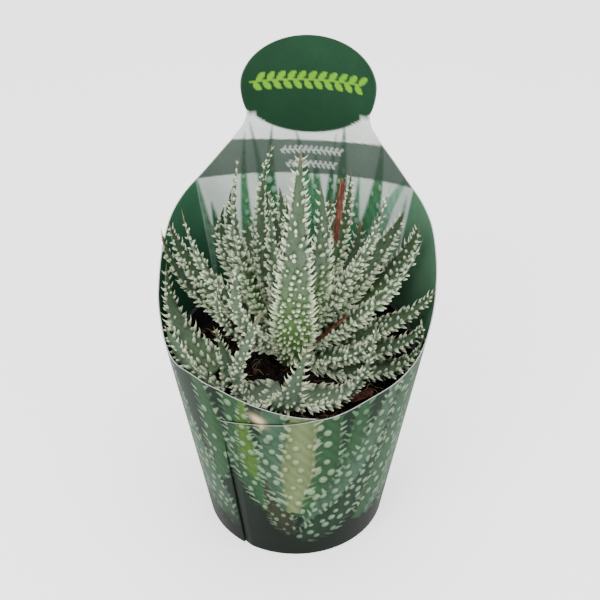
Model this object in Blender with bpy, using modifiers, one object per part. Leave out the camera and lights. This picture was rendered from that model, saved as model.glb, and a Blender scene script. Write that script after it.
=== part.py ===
"""A young tooth-edged aloe in a plastic nursery pot, with a printed card sleeve round the pot.

Metres, +Z up. The origin is the middle of the pot's underside, and the sleeve's tall back panel
stands on the +Y side. Angles round the sleeve and the plant are in degrees from the front (-Y),
growing towards +X.
"""

from math import cos, pi, radians, sin

import bmesh
import bpy
from mathutils import Vector

# ---- driving dimensions --------------------------------------------------------------------
GAP = 0.0003                 # clear space between pieces that touch

POT_BASE_RADIUS = 0.0432
POT_HEIGHT = 0.102
POT_WALL = 0.0010
POT_LIP_WIDTH = 0.0022
POT_LIP_HEIGHT = 0.0060
DRAIN_HOLES = 6
DRAIN_HOLE_RADIUS = 0.0040
TAPER = 0.16                 # growth in radius for each unit of height, pot and sleeve alike

CARD = 0.0005                # thickness of the card
SLEEVE_CLEARANCE = 0.0013    # between the pot's wall and the card's inner layer
TONGUE_OFFSET = 0.0010       # how far the tucked-in ends lie inside the main sheet
SLEEVE_HEIGHT = 0.2277
SEAM_ANGLE = -30.0           # where the two ends of the card cross
SEAM_SLIT_HEIGHT = 0.081     # the left end goes inside above this height, the right end below it
LEFT_TONGUE = 44.0           # degrees that the left end reaches past the seam
RIGHT_TONGUE = 15.0          # degrees that the right end reaches past the seam
SEAM_EASE = 6.0              # degrees over which an end steps inwards
SEAM_EASE_START = 4.0        # degrees before the seam at which the left end starts its step
SEAM_EASE_HEIGHT = 0.012     # height over which the step fades out at the slit

SOIL_LEVEL = 0.0920
SOIL_DEPTH = 0.078
SOIL_DOME = 0.0020
STEM_ROOT = 0.030            # length of each stem below the soil's surface

PLANT_SPREAD = 0.067         # farthest that a leaf reaches from the pot's axis
PLANT_HEIGHT = 0.121         # highest leaf tip above the soil's surface
LEAF_THICKNESS = 0.26        # share of a leaf's width, at its seat
TIP_THICKENING = 0.14        # share added towards the tip, which is rounder
LEAF_TOP_SHARE = 0.22        # share of the thickness above the leaf's edges
SHOULDER_PLACE = 0.20        # share of a leaf's length at which it is widest
SEAT_WIDTH = 0.34            # width where the leaf leaves the stem, as a share of its greatest
TIP_TAPER = 1.27             # slope of the straight taper to the tip

LEAF_RINGS = 9
LEAF_SIDES = 8
ROUND_STEPS = 64

SLEEVE_RADIUS = POT_BASE_RADIUS + SLEEVE_CLEARANCE + TONGUE_OFFSET + CARD   # outer face, at the floor
POT_RIM_RADIUS = POT_BASE_RADIUS + TAPER * POT_HEIGHT

# The card's top edge as (angle from the back panel's middle, height), up to where the neck starts.
# The two sides of the back panel match, and the front dips in a slow wave.
PANEL_EDGE = [
    (25.0, 0.1850), (30.8, 0.1780), (43.5, 0.1670), (56.0, 0.1600), (65.0, 0.1540), (76.0, 0.1430),
    (86.5, 0.1325), (95.0, 0.1260), (104.0, 0.1175),
]
FRONT_EDGE = [
    (-60.0, 0.1137), (-44.0, 0.1180), (-34.0, 0.1181), (-18.0, 0.1147), (-4.0, 0.1107), (8.0, 0.1074),
    (16.0, 0.1062), (25.0, 0.1080), (38.0, 0.1122), (54.0, 0.1137),
]
# Where the right end laps over the left one its own edge is lower.
LAP_EDGE = [(-30.0, 0.0955), (-14.0, 0.1007), (0.0, 0.1032), (14.0, 0.1062)]
NECK_HALF_ANGLE = 23.5
NECK_HEIGHT = 0.1914
NECK_FLARE = 0.35            # degrees that the neck widens halfway down to the panel
HEADER_HALF_ANGLE = 25.3
HEADER_MIDDLE = 0.2035
HEADER_LOW_SPAN = 42.0       # degrees below level at which the oval meets the neck

# The crowns of the clump: the stem's place, its radius and its height above the soil.
CROWNS = {
    "main": ((-0.001, -0.003), 0.0055, 0.0260),
    "front": ((-0.001, -0.031), 0.0030, 0.0110),
    "left": ((-0.032, -0.024), 0.0030, 0.0120),
}

# The leaves of each crown, from its lowest to its highest. A row is the point that the leaf bends
# towards, the place of its tip and its greatest width, in millimetres from the pot's axis and the
# soil's surface.
LEAVES = {
    "front": [
        ((-2, -49, -2), (10, -38, 41), 14),
        ((34, -38, -3), (39, -32, 43), 18),
        ((-38, -45, -3), (-11, -39, 58), 15),
    ],
    "left": [
        ((-46, -42, 16), (-62, -12, 26), 18),
        ((-26, -28, 3), (-36, -26, 38), 13),
        ((-63, -6, 15), (-62, 2, 53), 17),
    ],
    "main": [
        ((5, -63, 98), (3, -2, 122), 25),
        ((-3, 54, 1), (0, 60, 37), 18),
        ((63, -19, -1), (62, -9, 31), 17),
        ((29, 44, 17), (28, 56, 48), 18),
        ((-28, 45, 16), (-30, 54, 46), 18),
        ((62, -4, 9), (61, -10, 36), 15),
        ((43, -36, 30), (39, -26, 45), 15),
        ((36, 34, 25), (48, 44, 56), 16),
        ((-32, 32, 23), (-47, 42, 51), 16),
        ((-32, -47, 57), (-21, -27, 76), 11),
        ((54, 2, 20), (67, 0, 47), 17),
        ((-65, 13, 27), (-66, 14, 65), 13),
        ((10, 40, 29), (14, 49, 67), 17),
        ((-43, -18, 26), (-31, -23, 64), 14),
        ((56, 30, 37), (57, 18, 71), 18),
        ((-59, 16, 35), (-60, 5, 75), 17),
        ((-6, 36, 38), (-12, 45, 72), 18),
        ((47, -17, 46), (59, 0, 75), 24),
        ((-46, 31, 42), (-37, 28, 70), 15),
        ((-44, -17, 52), (-51, -8, 91), 23),
        ((44, 34, 44), (50, 22, 76), 18),
        ((-41, 21, 51), (-31, 15, 88), 15),
        ((-10, 33, 43), (-18, 28, 84), 14),
        ((18, 23, 49), (21, 37, 82), 15),
        ((-2, 15, 56), (3, 24, 88), 12),
        ((35, -10, 66), (43, 3, 102), 22),
        ((-36, -3, 61), (-25, 2, 115), 21),
        ((19, -29, 79), (11, 0, 103), 15),
        ((-27, 13, 68), (-10, 8, 119), 12),
        ((26, 19, 59), (24, 17, 101), 13),
        ((-9, -6, 61), (-11, -4, 99), 16),
        ((-4, 8, 53), (-5, 11, 87), 11),
    ],
}
TABLE_SPREAD = 0.067         # the leaf table's own farthest reach and highest tip
TABLE_HEIGHT = 0.121
LOWEST_SEAT = 0.0045         # of a leaf on its stem, above the soil
TOP_SEAT_MARGIN = 0.0030     # between the highest leaf's seat and the stem's tip

# Bark among the leaves and on the soil: the two ends of each piece, its width and its thickness, in
# millimetres from the pot's axis and the soil's surface.
BARK = {
    "bark_tall": ((22, -8, 110), (19, -12, 78), 4.0, 1.8),
    "bark_low": ((26, -14, 39), (11, -16, 24), 3.0, 1.4),
    "bark_short": ((17, 15, 48), (24, 13, 58), 1.8, 1.0),
    "bark_chip": ((28, -30, 1), (40, -24, 1), 6.0, 2.2),
}
# Sections of a bark piece: share of its length, share of its width, shift as a share of its width.
BARK_SECTIONS = [
    (0.0, 0.30, 0.20), (0.10, 0.80, 0.08), (0.45, 1.0, 0.0), (0.85, 0.90, -0.05), (1.0, 0.35, -0.20),
]
BARK_CORNERS = 6

CARD_COLOUR = (0.045, 0.150, 0.075)
POT_COLOUR = (0.020, 0.022, 0.024)
SOIL_COLOUR = (0.018, 0.012, 0.008)
STEM_COLOUR = (0.150, 0.190, 0.080)
LEAF_COLOUR = (0.120, 0.230, 0.130)
BARK_COLOUR = (0.230, 0.075, 0.040)


# ---- scene and materials -------------------------------------------------------------------
def clear_scene():
    for obj in list(bpy.data.objects):
        bpy.data.objects.remove(obj, do_unlink=True)


def new_collection(name):
    found = bpy.data.collections.new(name)
    bpy.context.scene.collection.children.link(found)
    return found


def material(name, colour, roughness, metallic=0.0):
    made = bpy.data.materials.new(name)
    made.use_nodes = True
    shader = made.node_tree.nodes["Principled BSDF"]
    shader.inputs["Base Color"].default_value = (*colour, 1.0)
    shader.inputs["Roughness"].default_value = roughness
    shader.inputs["Metallic"].default_value = metallic
    made.diffuse_color = (*colour, 1.0)
    return made


def mesh_object(name, bm, group, look=None):
    mesh = bpy.data.meshes.new(name)
    bmesh.ops.recalc_face_normals(bm, faces=bm.faces)
    bm.to_mesh(mesh)
    bm.free()
    obj = bpy.data.objects.new(name, mesh)
    group.objects.link(obj)
    if look:
        mesh.materials.append(look)
    return obj


def turned(name, profile, group, look, close=False, steps=ROUND_STEPS):
    """A turned piece: the profile, as (radius, height) from the top down its outer side, spun about Z."""
    bm = bmesh.new()
    points = [bm.verts.new((radius, 0, height)) for radius, height in profile]
    for upper, lower in zip(points, points[1:]):
        bm.edges.new((upper, lower))
    if close:
        bm.edges.new((points[-1], points[0]))
    mesh = bpy.data.meshes.new(name)
    bm.to_mesh(mesh)
    bm.free()
    mesh.materials.append(look)
    obj = bpy.data.objects.new(name, mesh)
    group.objects.link(obj)
    screw = obj.modifiers.new("turn", "SCREW")
    screw.steps = screw.render_steps = steps
    screw.use_merge_vertices = True
    screw.merge_threshold = 0.00001
    screw.use_smooth_shade = True
    return obj


def between(table, place):
    """The value at a place in a table of (place, value) pairs, joined by smooth curves with flat slopes
    only where the table turns."""
    if place <= table[0][0]:
        return table[0][1]
    for index, ((a, low), (b, high)) in enumerate(zip(table, table[1:])):
        if place <= b:
            break
    else:
        return table[-1][1]
    before = table[max(index - 1, 0)]
    after = table[min(index + 2, len(table) - 1)]
    start_slope = (high - before[1]) / (b - before[0])
    end_slope = (after[1] - low) / (after[0] - a)
    span = b - a
    t = (place - a) / span
    return (
        (2 * t**3 - 3 * t**2 + 1) * low + (t**3 - 2 * t**2 + t) * span * start_slope
        + (3 * t**2 - 2 * t**3) * high + (t**3 - t**2) * span * end_slope
    )


def clamped(share):
    return min(max(share, 0.0), 1.0)


# ---- card sleeve ---------------------------------------------------------------------------
def edge_height(angle):
    """Height of the card's top edge below the neck, at an angle from the front."""
    from_back = 180.0 - abs((angle + 180.0) % 360.0 - 180.0)
    if from_back <= PANEL_EDGE[0][0]:
        return PANEL_EDGE[0][1]
    front = (angle + 180.0) % 360.0 - 180.0
    table = [(-180.0 + a, height) for a, height in PANEL_EDGE]
    table += FRONT_EDGE
    table += [(180.0 - a, height) for a, height in reversed(PANEL_EDGE)]
    return between(table, front)


def card_radius(turn, height):
    """Outer radius of the card at a turn along the sheet: 0 is the seam on the left end, and 360 is the
    seam again on the right end. Past the seam each end lies one layer farther in."""
    radius = SLEEVE_RADIUS + TAPER * height
    above_slit = (height - SEAM_SLIT_HEIGHT) / SEAM_EASE_HEIGHT
    left = clamped((SEAM_EASE_START - turn) / SEAM_EASE) * clamped(above_slit + 1.0)
    right = clamped((turn - 360.0) / SEAM_EASE + 1.0) * clamped(1.0 - above_slit)
    return radius - TONGUE_OFFSET * max(left, right)


def card_point(turn, height):
    angle = radians(SEAM_ANGLE - turn)
    radius = card_radius(turn, height)
    return Vector((radius * sin(angle), -radius * cos(angle), height))


def card_turns(step):
    """Turns of the sheet's columns, with columns on the seam, on the tongue ends and on the neck."""
    stops = [-LEFT_TONGUE, SEAM_EASE_START - SEAM_EASE, 0.0, SEAM_EASE_START]
    back = SEAM_ANGLE + 180.0
    stops += [back - PANEL_EDGE[0][0], back + PANEL_EDGE[0][0], 360.0 - SEAM_EASE, 360.0]
    stops.append(360.0 + RIGHT_TONGUE)
    turns = [stops[0]]
    for start, stop in zip(stops, stops[1:]):
        count = max(1, round((stop - start) / step))
        turns += [start + (stop - start) * k / count for k in range(1, count + 1)]
    return turns


def header_outline(rows):
    """(half angle, height) up the neck and round the oval header, from the panel to its top."""
    outline = [(NECK_HALF_ANGLE + NECK_FLARE, 0.5 * (PANEL_EDGE[0][1] + NECK_HEIGHT))]
    start = radians(-HEADER_LOW_SPAN)
    low = HEADER_MIDDLE - NECK_HEIGHT
    for row in range(rows + 1):
        t = start + (pi / 2 - start) * row / rows
        if t < 0:
            half = HEADER_HALF_ANGLE - (HEADER_HALF_ANGLE - NECK_HALF_ANGLE) * (t / start) ** 2
            height = HEADER_MIDDLE - low * sin(t) / sin(start)
        else:
            half = HEADER_HALF_ANGLE * cos(t)
            height = HEADER_MIDDLE + (SLEEVE_HEIGHT - HEADER_MIDDLE) * sin(t)
        outline.append((half, height))
    return outline


def card_sleeve(group, look):
    """One bent sheet: its columns run round the pot and overlap at the seam, where the ends interlock."""
    turns = card_turns(5.0)
    low_shares = [0.0, 0.5, 1.0]
    high_shares = [0.4, 1.0]
    bm = bmesh.new()
    columns = []
    for turn in turns:
        on_lap = turn > 360.0 - LEFT_TONGUE
        top = between(LAP_EDGE, SEAM_ANGLE + 360.0 - turn) if on_lap else edge_height(SEAM_ANGLE - turn)
        low = [GAP + (SEAM_SLIT_HEIGHT - GAP) * share for share in low_shares]
        high = [SEAM_SLIT_HEIGHT + (top - SEAM_SLIT_HEIGHT) * share for share in high_shares]
        if turn < 0.0:
            low[:-1] = [None] * (len(low) - 1)
        if turn > 360.0:
            high = [None] * len(high)
        columns.append([None if z is None else bm.verts.new(card_point(turn, z)) for z in low + high])
    for one, other in zip(columns, columns[1:]):
        for corners in zip(one, one[1:], other[1:], other):
            if None not in corners:
                bm.faces.new(corners)
    back = SEAM_ANGLE + 180.0
    neck = [
        (column[-1], (turn - back) / PANEL_EDGE[0][0])
        for turn, column in zip(turns, columns)
        if abs(turn - back) <= PANEL_EDGE[0][0] + 0.01
    ]
    below = [vertex for vertex, _ in neck]
    for half, height in header_outline(10)[:-1]:
        row = [bm.verts.new(card_point(back + share * half, height)) for _, share in neck]
        for corners in zip(below, below[1:], row[1:], row):
            bm.faces.new(corners)
        below = row
    peak = bm.verts.new(card_point(back, SLEEVE_HEIGHT))
    for one, other in zip(below, below[1:]):
        bm.faces.new((one, other, peak))
    sleeve = mesh_object("card_sleeve", bm, group, look)
    sheet = sleeve.modifiers.new("thickness", "SOLIDIFY")
    sheet.thickness = CARD
    sheet.offset = -1.0
    sleeve.data.shade_smooth()
    sleeve.data.set_sharp_from_angle(angle=radians(40))
    return sleeve


# ---- pot and soil --------------------------------------------------------------------------
def pot_radius(height):
    return POT_BASE_RADIUS + TAPER * height


def cylinder_cutter(name, radius, low, high, place, cutters):
    bm = bmesh.new()
    bmesh.ops.create_cone(bm, cap_ends=True, segments=24, radius1=radius, radius2=radius, depth=high - low)
    cutter = mesh_object(name, bm, cutters)
    cutter.location = (*place, 0.5 * (low + high))
    cutter.hide_render = True
    cutter.display_type = "WIRE"
    return cutter


def cut(obj, cutter):
    boolean = obj.modifiers.new(cutter.name, "BOOLEAN")
    boolean.operation = "DIFFERENCE"
    boolean.object = cutter


def nursery_pot(group, cutters, look):
    """A thin tapered pot with a rolled lip and a ring of drain holes."""
    lip_bottom = POT_HEIGHT - POT_LIP_HEIGHT
    chamfer = 1.5 * POT_WALL
    inner_floor = POT_WALL
    profile = [
        (POT_RIM_RADIUS - POT_LIP_WIDTH, POT_HEIGHT),
        (POT_RIM_RADIUS - 0.2 * POT_LIP_WIDTH, POT_HEIGHT),
        (POT_RIM_RADIUS, POT_HEIGHT - 0.2 * POT_LIP_WIDTH),
        (pot_radius(lip_bottom), lip_bottom),
        (pot_radius(lip_bottom) - POT_LIP_WIDTH + POT_WALL, lip_bottom),
        (pot_radius(chamfer) - POT_LIP_WIDTH + POT_WALL, chamfer),
        (POT_BASE_RADIUS - POT_LIP_WIDTH + POT_WALL - chamfer, 0.0),
        (0.0, 0.0),
        (0.0, inner_floor),
        (POT_BASE_RADIUS - POT_LIP_WIDTH - chamfer, inner_floor),
        (pot_radius(chamfer) - POT_LIP_WIDTH, chamfer + inner_floor),
    ]
    pot = turned("nursery_pot", profile, group, look, close=True)
    reach = 0.66 * POT_BASE_RADIUS
    for number in range(DRAIN_HOLES):
        angle = 2 * pi * (number + 0.5) / DRAIN_HOLES
        place = (reach * cos(angle), reach * sin(angle))
        cut(pot, cylinder_cutter(
            f"drain_hole_{number + 1}", DRAIN_HOLE_RADIUS, -3 * POT_WALL, 3 * POT_WALL, place, cutters,
        ))
    return pot


def soil(group, cutters, look):
    """The soil fills the pot, domed a little towards the middle, with a blind hole for each stem."""
    bottom = SOIL_LEVEL - SOIL_DEPTH
    inset = POT_LIP_WIDTH + GAP
    edge = pot_radius(SOIL_LEVEL - SOIL_DOME) - inset
    profile = [
        (0.0, SOIL_LEVEL),
        (0.35 * edge, SOIL_LEVEL - 0.1 * SOIL_DOME),
        (0.70 * edge, SOIL_LEVEL - 0.5 * SOIL_DOME),
        (edge, SOIL_LEVEL - SOIL_DOME),
        (pot_radius(bottom) - inset, bottom),
        (0.0, bottom),
    ]
    made = turned("potting_soil", profile, group, look)
    for crown in CROWNS:
        place, radius, _ = crown_size(crown)
        low = SOIL_LEVEL - STEM_ROOT - GAP
        cut(made, cylinder_cutter(f"{crown}_stem_hole", radius + GAP, low, SOIL_LEVEL + 0.01, place, cutters))
    return made


# ---- stems ---------------------------------------------------------------------------------
def crown_size(crown):
    """A crown's place, stem radius and stem height, grown or shrunk with the plant."""
    (x, y), radius, height = CROWNS[crown]
    spread = PLANT_SPREAD / TABLE_SPREAD
    return (x * spread, y * spread), radius * spread, height * PLANT_HEIGHT / TABLE_HEIGHT


def stem_radius(crown, above):
    """Radius of a crown's stem at a height above the soil: it narrows to its growing tip."""
    _, radius, height = crown_size(crown)
    return radius * (1.0 - 0.45 * (above / height) ** 2)


def stem(name, crown, group, look):
    """A short stem that a crown's leaves grow from, rooted in the soil."""
    place, radius, height = crown_size(crown)
    profile = [(0.0, height), (0.35 * radius, 0.975 * height)]
    profile += [(stem_radius(crown, share * height), share * height) for share in (0.92, 0.5, 0.0)]
    profile += [(radius, -0.7 * STEM_ROOT), (0.6 * radius, -STEM_ROOT), (0.0, -STEM_ROOT)]
    made = turned(name, profile, group, look, steps=24)
    made.location = (*place, SOIL_LEVEL)
    return made


# ---- leaves --------------------------------------------------------------------------------
def leaf_width(s):
    """Share of the leaf's greatest width at a share s of its length: narrow where it leaves the stem,
    widest at about a fifth, then tapering evenly to the tip."""
    shoulder = min(s / SHOULDER_PLACE, 1.0)
    root = SEAT_WIDTH + (1.0 - SEAT_WIDTH) * (3 * shoulder**2 - 2 * shoulder**3)
    return root * min(1.0, TIP_TAPER * (1.0 - s))


def leaf_points(crown, rank):
    """A leaf's seat on its stem, bend point, tip and greatest width, in metres."""
    bend, tip, width = LEAVES[crown][rank]
    spread = PLANT_SPREAD / TABLE_SPREAD
    rise = PLANT_HEIGHT / TABLE_HEIGHT
    scale = Vector((0.001 * spread, 0.001 * spread, 0.001 * rise))
    width = 0.001 * width * spread
    soil_top = Vector((0.0, 0.0, SOIL_LEVEL))
    bend = Vector(bend) * scale + soil_top
    tip = Vector(tip) * scale + soil_top
    place, _, height = crown_size(crown)
    top_seat = height - TOP_SEAT_MARGIN * rise
    above = LOWEST_SEAT * rise
    above += (top_seat - above) * rank / (len(LEAVES[crown]) - 1)
    outward = Vector((bend.x - place[0], bend.y - place[1], 0.0)).normalized()
    reach = stem_radius(crown, above) + GAP + 0.5 * leaf_width(0.0) * LEAF_THICKNESS * width
    seat = Vector((*place, SOIL_LEVEL + above)) + outward * reach
    return seat, bend, tip, width


def leaf_frame(seat, bend, tip, place, s):
    """The leaf's middle point and its directions along, sideways and up at a share s of its length."""
    centre = seat * (1 - s) ** 2 + bend * (2 * s * (1 - s)) + tip * s**2
    along = (seat * (2 * (s - 1)) + bend * (2 - 4 * s) + tip * (2 * s)).normalized()
    outward = Vector((bend.x - place[0], bend.y - place[1], 0.0)).normalized()
    side = Vector((-outward.y, outward.x, 0.0))
    side = (side - along * side.dot(along)).normalized()
    up = along.cross(side)
    return centre, along, side, up


def leaf(name, crown, rank, group, look):
    """A fleshy leaf, lofted through sections that are flat above, rounded below and end in a point."""
    seat, bend, tip, widest = leaf_points(crown, rank)
    place = crown_size(crown)[0]
    bm = bmesh.new()
    rings = []
    for index in range(LEAF_RINGS):
        s = (index / LEAF_RINGS) ** 1.1
        centre, _, side, up = leaf_frame(seat, bend, tip, place, s)
        half = 0.5 * widest * leaf_width(s)
        thick = 2 * half * (LEAF_THICKNESS + TIP_THICKENING * s)
        ring = []
        for k in range(LEAF_SIDES):
            turn = 2 * pi * k / LEAF_SIDES
            across = half * cos(turn)
            lift = thick * sin(turn) * (LEAF_TOP_SHARE if sin(turn) > 0 else 1.0 - LEAF_TOP_SHARE)
            ring.append(bm.verts.new(centre + side * across + up * lift))
        rings.append(ring)
    for one, other in zip(rings, rings[1:]):
        for k in range(LEAF_SIDES):
            after = (k + 1) % LEAF_SIDES
            bm.faces.new((one[k], one[after], other[after], other[k]))
    point = bm.verts.new(tip)
    for k in range(LEAF_SIDES):
        bm.faces.new((rings[-1][k], rings[-1][(k + 1) % LEAF_SIDES], point))
    bm.faces.new(rings[0])
    made = mesh_object(name, bm, group, look)
    made.data.shade_smooth()
    return made


# ---- bark ----------------------------------------------------------------------------------
def splinter(name, group, look):
    """A flat piece of bark with ragged ends: six-cornered sections that shift a little from side to side."""
    start, end, width, thick = BARK[name]
    spread = 0.001 * PLANT_SPREAD / TABLE_SPREAD
    rise = 0.001 * PLANT_HEIGHT / TABLE_HEIGHT
    start = Vector((start[0] * spread, start[1] * spread, SOIL_LEVEL + start[2] * rise))
    end = Vector((end[0] * spread, end[1] * spread, SOIL_LEVEL + end[2] * rise))
    along = (end - start).normalized()
    side = along.cross(Vector((0.0, 0.0, 1.0))).normalized()
    up = side.cross(along)
    bm = bmesh.new()
    rings = []
    for s, share, shift in BARK_SECTIONS:
        centre = start.lerp(end, s) + side * shift * width * spread
        ring = []
        for k in range(BARK_CORNERS):
            turn = 2 * pi * (k + 0.5) / BARK_CORNERS
            across = 0.5 * width * share * spread * cos(turn)
            lift = 0.5 * thick * share * spread * sin(turn)
            ring.append(bm.verts.new(centre + side * across + up * lift))
        rings.append(ring)
    for one, other in zip(rings, rings[1:]):
        for k in range(BARK_CORNERS):
            after = (k + 1) % BARK_CORNERS
            bm.faces.new((one[k], one[after], other[after], other[k]))
    bm.faces.new(rings[0])
    bm.faces.new(rings[-1])
    return mesh_object(name, bm, group, look)


# ---- build ---------------------------------------------------------------------------------
def build():
    clear_scene()
    plant = new_collection("potted_aloe")
    cutters = new_collection("cutters")
    card_sleeve(plant, material("printed_card", CARD_COLOUR, 0.45))
    nursery_pot(plant, cutters, material("pot_plastic", POT_COLOUR, 0.5))
    soil(plant, cutters, material("potting_soil", SOIL_COLOUR, 0.95))
    stem_look = material("stem_tissue", STEM_COLOUR, 0.7)
    leaf_look = material("leaf_skin", LEAF_COLOUR, 0.55)
    number = 0
    for crown, rows in LEAVES.items():
        stem(f"{crown}_stem", crown, plant, stem_look)
        for rank in range(len(rows)):
            number += 1
            leaf(f"leaf_{number:02d}", crown, rank, plant, leaf_look)
    bark_look = material("bark", BARK_COLOUR, 0.85)
    for name in BARK:
        splinter(name, plant, bark_look)


build()
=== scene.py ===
"""The looks of the potted aloe: a tooth-edged aloe in a nursery pot, with a printed card sleeve round it."""

from math import ceil, cos, pi, radians, sin

import bpy
import numpy as np
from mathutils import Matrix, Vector


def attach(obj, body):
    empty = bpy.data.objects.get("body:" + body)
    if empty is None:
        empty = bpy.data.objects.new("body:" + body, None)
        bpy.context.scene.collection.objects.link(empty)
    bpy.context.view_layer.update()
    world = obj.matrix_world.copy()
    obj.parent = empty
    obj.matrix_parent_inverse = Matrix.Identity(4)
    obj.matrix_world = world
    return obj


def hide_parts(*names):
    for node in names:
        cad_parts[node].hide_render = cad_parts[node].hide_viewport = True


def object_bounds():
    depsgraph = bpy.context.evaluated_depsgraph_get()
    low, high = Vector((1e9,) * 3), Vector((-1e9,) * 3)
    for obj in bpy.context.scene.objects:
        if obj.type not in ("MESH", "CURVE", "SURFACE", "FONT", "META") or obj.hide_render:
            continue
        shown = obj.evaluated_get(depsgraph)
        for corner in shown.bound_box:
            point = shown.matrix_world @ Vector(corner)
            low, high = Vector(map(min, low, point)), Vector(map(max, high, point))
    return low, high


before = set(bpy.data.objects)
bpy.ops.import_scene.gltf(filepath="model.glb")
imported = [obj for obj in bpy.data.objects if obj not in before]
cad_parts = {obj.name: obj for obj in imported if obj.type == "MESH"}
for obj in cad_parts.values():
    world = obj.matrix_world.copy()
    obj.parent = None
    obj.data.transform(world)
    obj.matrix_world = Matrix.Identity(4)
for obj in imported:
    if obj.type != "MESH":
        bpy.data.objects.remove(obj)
bounds_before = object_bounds()

MM = 0.001

# ---- sizes shared with the solids ------------------------------------------------------------
TAPER = 0.16
CARD = 0.0005
GAP = 0.0003
TONGUE_OFFSET = 0.0010
SLEEVE_RADIUS = 0.0460
SLEEVE_HEIGHT = 0.2277
SEAM_ANGLE = -30.0
SEAM_SLIT_HEIGHT = 0.081
LEFT_TONGUE = 44.0
RIGHT_TONGUE = 15.0
PANEL_EDGE = [
    (25.0, 0.1850), (30.8, 0.1780), (43.5, 0.1670), (56.0, 0.1600), (65.0, 0.1540), (76.0, 0.1430),
    (86.5, 0.1325), (95.0, 0.1260), (104.0, 0.1175),
]
FRONT_EDGE = [
    (-60.0, 0.1137), (-44.0, 0.1180), (-34.0, 0.1181), (-18.0, 0.1147), (-4.0, 0.1107), (8.0, 0.1074),
    (16.0, 0.1062), (25.0, 0.1080), (38.0, 0.1122), (54.0, 0.1137),
]
LAP_EDGE = [(-30.0, 0.0955), (-14.0, 0.1007), (0.0, 0.1032), (14.0, 0.1062)]
NECK_HALF_ANGLE = 23.5
NECK_HEIGHT = 0.1914
HEADER_HALF_ANGLE = 25.3
HEADER_MIDDLE = 0.2035
HEADER_LOW_SPAN = 42.0
SOIL_LEVEL = 0.0920
SOIL_DEPTH = 0.078
SOIL_DOME = 0.0020
POT_BASE_RADIUS = 0.0432
POT_LIP_WIDTH = 0.0022
CROWNS = {
    "main": ((-0.001, -0.003), 0.0055, 0.0260),
    "front": ((-0.001, -0.031), 0.0030, 0.0110),
    "left": ((-0.032, -0.024), 0.0030, 0.0120),
}
# Each crown's leaves, from the lowest on its stem: the point that a leaf bends towards, its tip and its
# width, in millimetres from the pot's axis and the soil's surface.
LEAVES = {
    "front": [
        ((-2, -49, -2), (10, -38, 41), 14),
        ((34, -38, -3), (39, -32, 43), 18),
        ((-38, -45, -3), (-11, -39, 58), 15),
    ],
    "left": [
        ((-46, -42, 16), (-62, -12, 26), 18),
        ((-26, -28, 3), (-36, -26, 38), 13),
        ((-63, -6, 15), (-62, 2, 53), 17),
    ],
    "main": [
        ((5, -63, 98), (3, -2, 122), 25),
        ((-3, 54, 1), (0, 60, 37), 18),
        ((63, -19, -1), (62, -9, 31), 17),
        ((29, 44, 17), (28, 56, 48), 18),
        ((-28, 45, 16), (-30, 54, 46), 18),
        ((62, -4, 9), (61, -10, 36), 15),
        ((43, -36, 30), (39, -26, 45), 15),
        ((36, 34, 25), (48, 44, 56), 16),
        ((-32, 32, 23), (-47, 42, 51), 16),
        ((-32, -47, 57), (-21, -27, 76), 11),
        ((54, 2, 20), (67, 0, 47), 17),
        ((-65, 13, 27), (-66, 14, 65), 13),
        ((10, 40, 29), (14, 49, 67), 17),
        ((-43, -18, 26), (-31, -23, 64), 14),
        ((56, 30, 37), (57, 18, 71), 18),
        ((-59, 16, 35), (-60, 5, 75), 17),
        ((-6, 36, 38), (-12, 45, 72), 18),
        ((47, -17, 46), (59, 0, 75), 24),
        ((-46, 31, 42), (-37, 28, 70), 15),
        ((-44, -17, 52), (-51, -8, 91), 23),
        ((44, 34, 44), (50, 22, 76), 18),
        ((-41, 21, 51), (-31, 15, 88), 15),
        ((-10, 33, 43), (-18, 28, 84), 14),
        ((18, 23, 49), (21, 37, 82), 15),
        ((-2, 15, 56), (3, 24, 88), 12),
        ((35, -10, 66), (43, 3, 102), 22),
        ((-36, -3, 61), (-25, 2, 115), 21),
        ((19, -29, 79), (11, 0, 103), 15),
        ((-27, 13, 68), (-10, 8, 119), 12),
        ((26, 19, 59), (24, 17, 101), 13),
        ((-9, -6, 61), (-11, -4, 99), 16),
        ((-4, 8, 53), (-5, 11, 87), 11),
    ],
}
LOWEST_SEAT = 0.0045
TOP_SEAT_MARGIN = 0.0030
BARK = {
    "bark_tall": ((22, -8, 110), (19, -12, 78), 4.0, 1.8),
    "bark_low": ((26, -14, 39), (11, -16, 24), 3.0, 1.4),
    "bark_short": ((17, 15, 48), (24, 13, 58), 1.8, 1.0),
    "bark_chip": ((28, -30, 1), (40, -24, 1), 6.0, 2.2),
}


# ---- helpers ---------------------------------------------------------------------------------
def unit(v):
    return v / np.maximum(np.linalg.norm(v, axis=-1, keepdims=True), 1e-12)


def smooth(low, high, x):
    t = np.clip((x - low) / (high - low), 0.0, 1.0)
    return t * t * (3 - 2 * t)


def ring_faces(rings, sides):
    """The numbers of the points of a tube made of rings, and the quads between its rings."""
    index = np.arange(rings * sides).reshape(rings, sides)
    ahead = np.roll(index, -1, axis=1)
    return index, np.stack([index[:-1], ahead[:-1], ahead[1:], index[1:]], axis=-1).reshape(-1, 4).tolist()


def mix(a, b, share):
    share = np.asarray(share)[..., None]
    return a * (1 - share) + np.asarray(b) * share


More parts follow.
